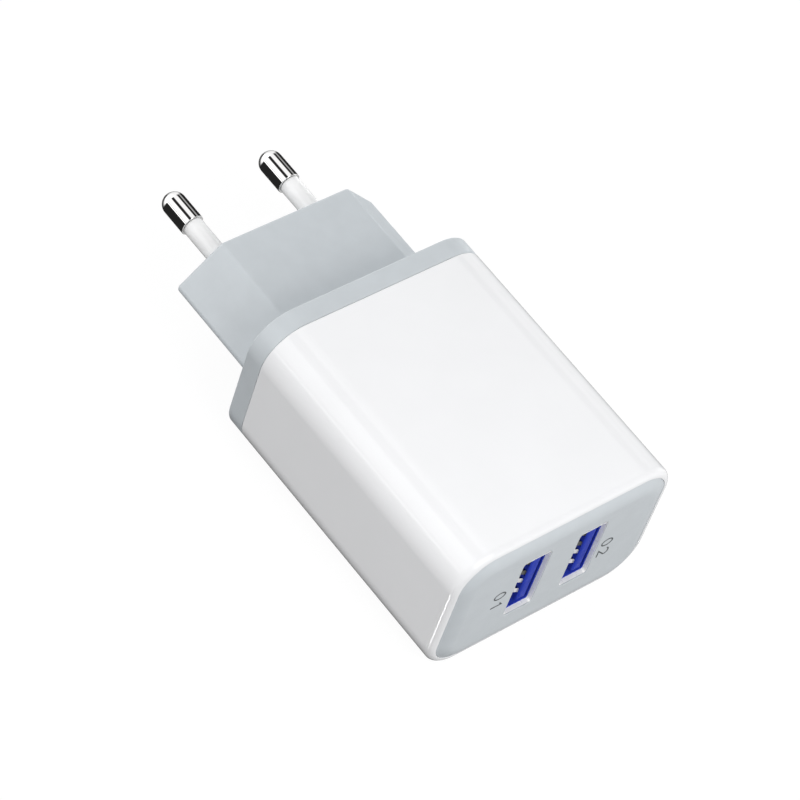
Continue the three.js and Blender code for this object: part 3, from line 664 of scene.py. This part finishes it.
def build_pins():
    for side, sign in SIDES.items():
        x = sign * PIN_X
        low, high = span(f"pin_{side}")
        bare = SLEEVE_LENGTH + PIN_GAP
        dome = [(PIN_R * math.cos(t), high.y - PIN_R + PIN_R * math.sin(t))
                for t in (math.pi / 2 * k / DOME_STEPS for k in range(DOME_STEPS))]
        profile = [(0, low.y), (PIN_SHANK_R - PIN_CHAMFER, low.y),
                   (PIN_SHANK_R, low.y + PIN_CHAMFER),
                   (PIN_SHANK_R, PIN_FLANGE_Y[0]), (PIN_FLANGE_R, PIN_FLANGE_Y[0]),
                   (PIN_FLANGE_R, PIN_FLANGE_Y[1]), (PIN_CORE_R, PIN_FLANGE_Y[1]),
                   (PIN_CORE_R, bare), (PIN_R - PIN_COLLAR, bare)]
        profile += [(PIN_R, bare + PIN_COLLAR), *dome, (0, high.y)]
        pin = lathe(f"mains_pin_{side}", profile, x, FINISHES["nickel_plate"])
        install(pin, "charger", "nickel_plate", f"pin_{side}")

        rear, front = span(f"pin_sleeve_{side}")[0].y, SLEEVE_LENGTH
        inner = PIN_CORE_R + SLEEVE_GAP
        sleeve = lathe(f"insulating_sleeve_{side}", [
            (inner, rear), (SLEEVE_R, rear), (SLEEVE_R, front - SLEEVE_EDGE),
            (SLEEVE_R - 0.03, front - 0.03), (SLEEVE_R - SLEEVE_EDGE, front), (inner, front),
        ], x, FINISHES["sleeve_plastic"])
        install(sleeve, "charger", "sleeve_plastic", f"pin_sleeve_{side}")


# ---- type A sockets ---------------------------------------------------------------------------


def build_socket_shell(side):
    """Sheet-metal shell: a square tube with a flared mouth and four legs through the board."""
    x = SIDES[side] * PORT_X
    low, high = span(f"usb_shell_{side}")
    sheet = SOCKET["sheet"]

    def section(grow):
        return rounded_rect(SOCKET["width"] + 2 * grow, SOCKET["height"] + 2 * grow,
                            SOCKET["radius"] + grow, x, PORT_Z, 6)

    flare, mouth = SOCKET["flare"], FACE_Y + SOCKET["mouth"]
    shape = Mesher()
    shape.loft(section, [
        (sheet, high.y), (sheet, low.y + 0.05), (sheet - 0.05, low.y), (flare, low.y),
        (flare, mouth + 0.02), (flare - 0.02, mouth), (flare - 0.05, mouth + 0.03),
        (0.02, low.y + SOCKET["lip"]), (0, low.y + SOCKET["lip"] + 0.1), (0, high.y),
    ], closed=True)
    leg_x = (SOCKET["width"] + sheet) / 2
    top = PORT_Z - SOCKET["height"] / 2 - sheet / 2
    for sign in SIDES.values():
        for behind in SOCKET_LEG["behind_rear"]:
            def leg(inset, at=x + sign * leg_x):
                return rounded_rect(sheet - 2 * inset, top - low.z - 2 * inset, 0.06,
                                    at, (top + low.z) / 2, 3)

            ends = [high.y - behind + step * SOCKET_LEG["length"] / 2 for step in (1, -1)]
            rear, front = shape.loft(leg, [(0.03, ends[0]), (0, ends[0] - 0.03),
                                           (0, ends[1] + 0.03), (0.03, ends[1])])
            shape.fill(rear)
            shape.fill(front)
    shell = shape.build(f"socket_shell_{side}", FINISHES["socket_steel"])
    install(shell, "charger", "nickel_plate", f"usb_shell_{side}")


def build_insulator(side, contact_rows):
    """Blue block with a thin liner in the shell's mouth and a tongue slotted for the contacts."""
    x = SIDES[side] * PORT_X
    rear = span(f"usb_insulator_{side}")[1].y
    block = rear - LINER["block"]
    face = x + SOCKET["width"] / 2 - TONGUE["gap"] - TONGUE["thickness"]
    back = face + TONGUE["thickness"]
    half = TONGUE["height"] / 2

    def section(inset):
        return rounded_rect(SOCKET["width"] - 2 * inset, SOCKET["height"] - 2 * inset,
                            SOCKET["radius"] - inset / 2, x, PORT_Z, 4)

    def tongue(inset, depth):
        low, high = PORT_Z - half + inset, PORT_Z + half - inset
        points = [(back - inset, high), (back - inset, low), (face + inset, low)]
        for row in contact_rows:
            below, above = row - TONGUE["slot_width"] / 2, row + TONGUE["slot_width"] / 2
            surface, floor = face + inset, face + inset + depth
            points += [(surface, below), (floor, below), (floor, above), (surface, above)]
        return points + [(face + inset, high)]

    shape = Mesher()
    gap, wall, front = LINER["gap"], LINER["wall"], FACE_Y + LINER["front"]
    end, pocket = shape.loft(section, [
        (gap + 0.1, rear), (gap, rear - 0.1), (gap, front + 0.04), (gap + 0.04, front),
        (gap + wall - 0.06, front), (gap + wall, front + 0.06), (gap + wall, block)])
    shape.fill(end)
    nose, chamfer = FACE_Y + TONGUE["front"], TONGUE["chamfer"]
    lip = nose + TONGUE["slot_lip"]
    rings = [shape.ring(tongue(inset, depth), y) for inset, depth, y in (
        (0, TONGUE["slot_depth"], block), (0, TONGUE["slot_depth"], lip + 0.02),
        (0, 0.02, lip), (0.06, 0.02, nose + chamfer * 0.5), (chamfer, 0.02, nose))]
    for first, second in zip(rings, rings[1:]):
        shape.bridge(first, second)
    shape.fill(pocket, rings[0])
    shape.fill(rings[-1])
    insulator = shape.build(f"tongue_block_{side}", FINISHES["blue_plastic"])
    install(insulator, "charger", "blue_plastic", f"usb_insulator_{side}")


def contact_profile(rise, rear, tip):
    """Depth below the proud bend against y: flat at the root, one bow, and a nose at the tip."""
    bow = [(share, tip + behind) for share, behind in CONTACT_BOW]
    steps = [(rise, rear)]
    for (d0, y0), (d1, y1) in zip(bow, bow[1:]):
        for k in range(CONTACT["steps"] + 1):
            t = k / CONTACT["steps"]
            ease = t * t * (3 - 2 * t)
            steps.append((rise * (d0 + (d1 - d0) * ease), y0 + (y1 - y0) * t))
    return [s for i, s in enumerate(steps) if i == 0 or s != steps[i - 1]] + [(rise, tip)]


def build_contact(side, number):
    """A spring strip that bows out of the tongue's face; returns the height of its middle."""
    node = f"usb_contact_{side}_{number}"
    low, high = span(node)
    thickness, width = CONTACT["thickness"], CONTACT["width"]
    middle = (low.z + high.z) / 2

    def section(depth):
        return rounded_rect(thickness, width, CONTACT["edge"],
                            low.x + depth + thickness / 2, middle, 3)

    shape = Mesher()
    root, tip = shape.loft(section, contact_profile(
        high.x - low.x - thickness, high.y, FACE_Y + CONTACT["tip"]))
    shape.fill(root)
    shape.fill(tip)
    # The two upper contacts get painted shade: the darker copy of the contact metal.
    finish = FINISHES["contact_painted_shade" if number > 2 else "contact_metal"]
    strip = shape.build(f"contact_strip_{side}_{number}", finish)
    install(strip, f"{side}_contacts", "gold_contact", node)
    return middle


# ---- numerals beside the ports ----------------------------------------------------------------

MARK = {"height": 2.1, "width": 1.5, "stroke": 0.24, "step": 2.5, "thickness": 0.03}
MARKS = {"numeral_left": ("01", -11.1, 0.15), "numeral_right": ("02", 10.2, -0.4)}


def digit_strokes(digit):
    """Open or closed strokes of a digit in a box 1 wide and 1 tall, as lists of points."""
    if digit == "0":
        turns = [2 * math.pi * k / 24 for k in range(24)]
        return [([(0.5 + 0.5 * math.cos(t), 0.5 + 0.5 * math.sin(t)) for t in turns], True)]
    if digit == "1":
        return [([(0.2, 0.78), (0.58, 1.0), (0.58, 0.0)], False)]
    bowl = [(0.5 + 0.48 * math.cos(t), 0.72 + 0.28 * math.sin(t))
            for t in (math.radians(165 - 17 * k) for k in range(12))]
    return [(bowl + [(0.02, 0.0), (1.0, 0.0)], False)]


def ribbon(points, closed, width):
    """Left and right edges of a stroke of even width along points, with mitred bends."""
    left, right = [], []
    count = len(points)
    for i, point in enumerate(points):
        here = Vector(point)
        before = Vector(points[i - 1]) if closed or i > 0 else None
        after = Vector(points[(i + 1) % count]) if closed or i < count - 1 else None
        arrive = (here - before).normalized() if before else (after - here).normalized()
        leave = (after - here).normalized() if after else arrive
        across = Vector((-(arrive + leave).y, (arrive + leave).x)).normalized()
        reach = width / 2 / max(across.dot(Vector((-arrive.y, arrive.x))), 0.4)
        left.append(here + across * reach)
        right.append(here - across * reach)
    return left, right


def build_mark(name, digits, x, z):
    """Printed digits on the panel, reading along Z with their tops towards +X."""
    bm = bmesh.new()
    face = FACE_Y - MARK["thickness"]
    run = MARK["step"] * (len(digits) - 1) + MARK["width"]

    def vert(point, y):
        along, up = point
        return bm.verts.new(((x + up) * MM, y * MM, (z - along) * MM))

    for index, digit in enumerate(digits):
        for stroke, closed in digit_strokes(digit):
            shift = index * MARK["step"] - run / 2
            points = [(shift + MARK["width"] * u, MARK["height"] * (v - 0.5)) for u, v in stroke]
            left, right = ribbon(points, closed, MARK["stroke"])
            rows = [[vert(p, y) for p in side] for y in (face, FACE_Y) for side in (left, right)]
            front_left, front_right, back_left, back_right = rows
            count = len(points)
            for i in range(count if closed else count - 1):
                j = (i + 1) % count
                bm.faces.new((front_left[i], front_left[j], front_right[j], front_right[i]))
                bm.faces.new((back_left[i], back_right[i], back_right[j], back_left[j]))
                bm.faces.new((front_left[i], back_left[i], back_left[j], front_left[j]))
                bm.faces.new((front_right[i], front_right[j], back_right[j], back_right[i]))
            if not closed:
                for i in (0, -1):
                    bm.faces.new((front_left[i], front_right[i], back_right[i], back_left[i]))
    bmesh.ops.recalc_face_normals(bm, faces=bm.faces)
    mesh = bpy.data.meshes.new(name)
    bm.to_mesh(mesh)
    bm.free()
    piece = bpy.data.objects.new(name, mesh)
    bpy.context.scene.collection.objects.link(piece)
    mesh.materials.append(FINISHES["mark_ink"])
    return install(piece, "charger", "black_plastic")


# ---- CAD nodes that keep their shape ----------------------------------------------------------

CARRIED = [
    ("pin_retainer", "retainer_board", 0.2),
    ("pin_lead", "white_wire", 0), ("port_chip", "black_plastic", 0.08),
    ("main_board", "circuit_board", 0.1), ("transformer_core", "ferrite", 0.3),
    ("transformer_bobbin", "black_plastic", 0.2), ("transformer_winding", "yellow_tape", 0.3),
    ("input_capacitor", "can_sleeve", 0.1), ("output_capacitor", "can_sleeve", 0.1),
    ("filter_inductor_core", "ferrite", 0.2), ("filter_inductor_coil", "enamel_copper", 0.2),
    ("safety_capacitor", "blue_coating", 0.4), ("fuse", "fuse_body", 0.15),
    ("clamp_diode", "black_plastic", 0.15), ("bridge_rectifier", "black_plastic", 0.1),
    ("controller_chip", "black_plastic", 0.08), ("output_rectifier", "black_plastic", 0.1),
    ("optocoupler", "black_plastic", 0.1), ("insulation_barrier", "amber_film", 0.08),
]


def dress_carried_nodes():
    for name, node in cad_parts.items():
        for start, finish, rounding in CARRIED:
            if name.startswith(start):
                for slot in node.material_slots:
                    slot.material = FINISHES[finish]
                if rounding:
                    soften_edges(node, rounding)


# ---- studio -----------------------------------------------------------------------------------

ROOM_PEAK = 3.0
DARK = 0.1
BLACK = 0.02
# The room's brightness round the Y axis, in degrees from straight up towards +X. The belt behind
# the charger is what its sides and pins mirror: black cloth with softboxes in it, each given by
# its two edges and its brightness. The front and rear walls are white card, lit unevenly.
SOFTBOXES = [
    {"edges": (-75, -70), "level": 2.5}, {"edges": (-66, -25), "level": 1.3},
    {"edges": (0, 37), "level": 1.1}, {"edges": (60, 75), "level": 0.45},
]
SOFTBOX_EDGE = 4
FRONT = [(-140, DARK), (-90, 0.65), (-30, 1.0), (0, DARK), (50, 0.2), (90, 1.4), (170, DARK)]
REAR = [(-150, DARK), (-90, 1.8), (-60, 2.3), (-30, 2.3), (30, 1.1), (90, 1.0), (150, DARK)]
# Where the belt fades in from the front and out to the rear, as a direction's share along +Y.
BELT = {"front": (0.08, 0.24), "rear": (0.54, 0.66)}
# Round softboxes, all aimed at the middle of the end panel. The plug and side ones show in no
# highlight, and the edge one shows only as a highlight.
LIGHTS = {
    "key_softbox": {"toward": (-0.06, -0.72, 0.63), "distance": 350.0, "radius": 156.0,
                    "power": 0.77, "diffuse": True, "glossy": True},
    "edge_softbox": {"toward": (-0.635, -0.205, -0.76), "distance": 350.0, "radius": 20.0,
                     "power": 0.06, "diffuse": False, "glossy": True},
    "plug_softbox": {"toward": (0.0, 0.82, 0.57), "distance": 110.0, "radius": 30.0,
                     "power": 0.0024, "diffuse": True, "glossy": False},
    "side_softbox": {"toward": (0.87, 0.48, -0.1), "distance": 350.0, "radius": 80.0,
                     "power": 0.95, "diffuse": True, "glossy": False},
}
FLOOR = {"half": 3.0, "matt": 0.10, "glow": 0.92}
BACKGROUND = (1.0, 1.0, 1.0)


def softbox_levels():
    """The belt's brightness round the Y axis, as (degrees, level): black but for its softboxes."""
    levels = [(-180, BLACK)]
    for box in SOFTBOXES:
        first, last = box["edges"]
        levels += [(first - SOFTBOX_EDGE / 2, BLACK), (first + SOFTBOX_EDGE / 2, box["level"]),
                   (last - SOFTBOX_EDGE / 2, box["level"]), (last + SOFTBOX_EDGE / 2, BLACK)]
    return levels + [(180, BLACK)]


def build_room():
    """A plain studio in the world: brightness by direction, and a pale backdrop for the camera."""
    world = bpy.data.worlds.new("studio")
    bpy.context.scene.world = world
    world.use_nodes = True
    nodes, links = world.node_tree.nodes, world.node_tree.links
    nodes.clear()

    def ranged(value, start, end):
        node = nodes.new("ShaderNodeMapRange")
        node.inputs["From Min"].default_value = start
        node.inputs["From Max"].default_value = end
        links.new(value, node.inputs["Value"])
        return node.outputs["Result"]

    def math_node(operation, *values):
        node = nodes.new("ShaderNodeMath")
        node.operation = operation
        for socket, value in zip(node.inputs, values):
            links.new(value, socket)
        return node.outputs[0]

    def ramp(factor, levels):
        node = nodes.new("ShaderNodeValToRGB")
        stops = node.color_ramp.elements
        while len(stops) < len(levels):
            stops.new(0.5)
        for stop, (degrees, level) in zip(stops, levels):
            stop.position = (degrees + 180) / 360
            stop.color = (level / ROOM_PEAK, level / ROOM_PEAK, level / ROOM_PEAK, 1)
        links.new(factor, node.inputs["Fac"])
        return node.outputs["Color"]

    direction = nodes.new("ShaderNodeSeparateXYZ")
    links.new(nodes.new("ShaderNodeTexCoord").outputs["Generated"], direction.inputs[0])
    turn = math_node("ARCTAN2", direction.outputs["X"], direction.outputs["Z"])
    round_y = ranged(turn, -math.pi, math.pi)
    room = ramp(round_y, FRONT)
    for levels, edge in ((softbox_levels(), "front"), (REAR, "rear")):
        blend = nodes.new("ShaderNodeMix")
        blend.data_type = "RGBA"
        links.new(ranged(direction.outputs["Y"], *BELT[edge]), blend.inputs["Factor"])
        links.new(room, blend.inputs[6])
        links.new(ramp(round_y, levels), blend.inputs[7])
        room = blend.outputs[2]
    lit = nodes.new("ShaderNodeBackground")
    lit.inputs["Strength"].default_value = ROOM_PEAK
    links.new(room, lit.inputs["Color"])
    seen = nodes.new("ShaderNodeBackground")
    seen.inputs["Color"].default_value = (*BACKGROUND, 1)
    mix = nodes.new("ShaderNodeMixShader")
    links.new(nodes.new("ShaderNodeLightPath").outputs["Is Camera Ray"], mix.inputs[0])
    links.new(lit.outputs[0], mix.inputs[1])
    links.new(seen.outputs[0], mix.inputs[2])
    links.new(mix.outputs[0], nodes.new("ShaderNodeOutputWorld").inputs["Surface"])


def build_softbox(name, settings):
    """A round softbox aimed at the middle of the end panel and hidden from the camera."""
    data = bpy.data.lights.new(name, "AREA")
    data.shape = "DISK"
    data.size = 2 * settings["radius"] * MM
    data.energy = settings["power"]
    light = bpy.data.objects.new(name, data)
    toward = Vector(settings["toward"]).normalized()
    light.location = (Vector((0, FACE_Y, 0)) + toward * settings["distance"]) * MM
    light.rotation_euler = toward.to_track_quat("Z", "Y").to_euler()
    light.visible_camera = False
    light.visible_diffuse, light.visible_glossy = settings["diffuse"], settings["glossy"]
    bpy.context.scene.collection.objects.link(light)


def build_floor():
    """A wide pale floor that the object rests on; it lights nothing itself."""
    material = bpy.data.materials.new("floor_white")
    material.use_nodes = True
    nodes, links = material.node_tree.nodes, material.node_tree.links
    nodes.clear()
    matt = nodes.new("ShaderNodeBsdfDiffuse")
    matt.inputs["Color"].default_value = (FLOOR["matt"], FLOOR["matt"], FLOOR["matt"], 1)
    glow = nodes.new("ShaderNodeEmission")
    glow.inputs["Strength"].default_value = FLOOR["glow"]
    pale = nodes.new("ShaderNodeAddShader")
    links.new(matt.outputs[0], pale.inputs[0])
    links.new(glow.outputs[0], pale.inputs[1])
    mix = nodes.new("ShaderNodeMixShader")
    links.new(nodes.new("ShaderNodeLightPath").outputs["Is Camera Ray"], mix.inputs[0])
    links.new(nodes.new("ShaderNodeBsdfTransparent").outputs[0], mix.inputs[1])
    links.new(pale.outputs[0], mix.inputs[2])
    links.new(mix.outputs[0], nodes.new("ShaderNodeOutputMaterial").inputs["Surface"])
    size, low = FLOOR["half"], cad_bounds[0][2]
    mesh = bpy.data.meshes.new("floor")
    mesh.from_pydata([(-size, -size, low), (size, -size, low), (size, size, low),
                      (-size, size, low)], [], [(0, 1, 2, 3)])
    mesh.materials.append(material)
    floor = bpy.data.objects.new("floor", mesh)
    bpy.context.scene.collection.objects.link(floor)


CAMERA = {"azimuth": -53.9, "elevation": 49.5, "roll": 20.6, "distance": 590.0,
          "shift_right": 8.0, "shift_up": -10.8, "aim_y": -18.9, "lens": 174.0}


def build_camera():
    """A long lens, above and to the left of the ports, rolled clockwise."""
    azimuth, elevation, roll = (
        math.radians(CAMERA[key]) for key in ("azimuth", "elevation", "roll"))
    back = Vector((math.sin(azimuth) * math.cos(elevation),
                   -math.cos(azimuth) * math.cos(elevation), math.sin(elevation)))
    level = Vector((math.cos(azimuth), math.sin(azimuth), 0))
    rise = back.cross(level)
    right = level * math.cos(roll) + rise * math.sin(roll)
    up = rise * math.cos(roll) - level * math.sin(roll)
    place = (right * CAMERA["shift_right"] + up * CAMERA["shift_up"]
             + back * CAMERA["distance"] + Vector((0, CAMERA["aim_y"], 0))) * MM
    data = bpy.data.cameras.new("camera")
    data.sensor_width = 36
    data.lens = CAMERA["lens"]
    data.clip_start = 0.05
    data.clip_end = 20
    camera = bpy.data.objects.new("camera", data)
    camera.matrix_world = Matrix.Translation(place) @ Matrix((right, up, back)).transposed().to_4x4()
    bpy.context.scene.collection.objects.link(camera)
    bpy.context.scene.camera = camera


# ---- the whole scene --------------------------------------------------------------------------

build_camera()
build_shell()
build_panel()
build_cover()
build_pins()
for port in SIDES:
    build_socket_shell(port)
    build_insulator(port, [build_contact(port, number) for number in range(1, 5)])
for mark, (digits, mark_x, mark_z) in MARKS.items():
    build_mark(mark, digits, mark_x, mark_z)
dress_carried_nodes()
build_room()
for softbox, light_settings in LIGHTS.items():
    build_softbox(softbox, light_settings)
build_floor()
bpy.context.scene.view_settings.view_transform = "Standard"
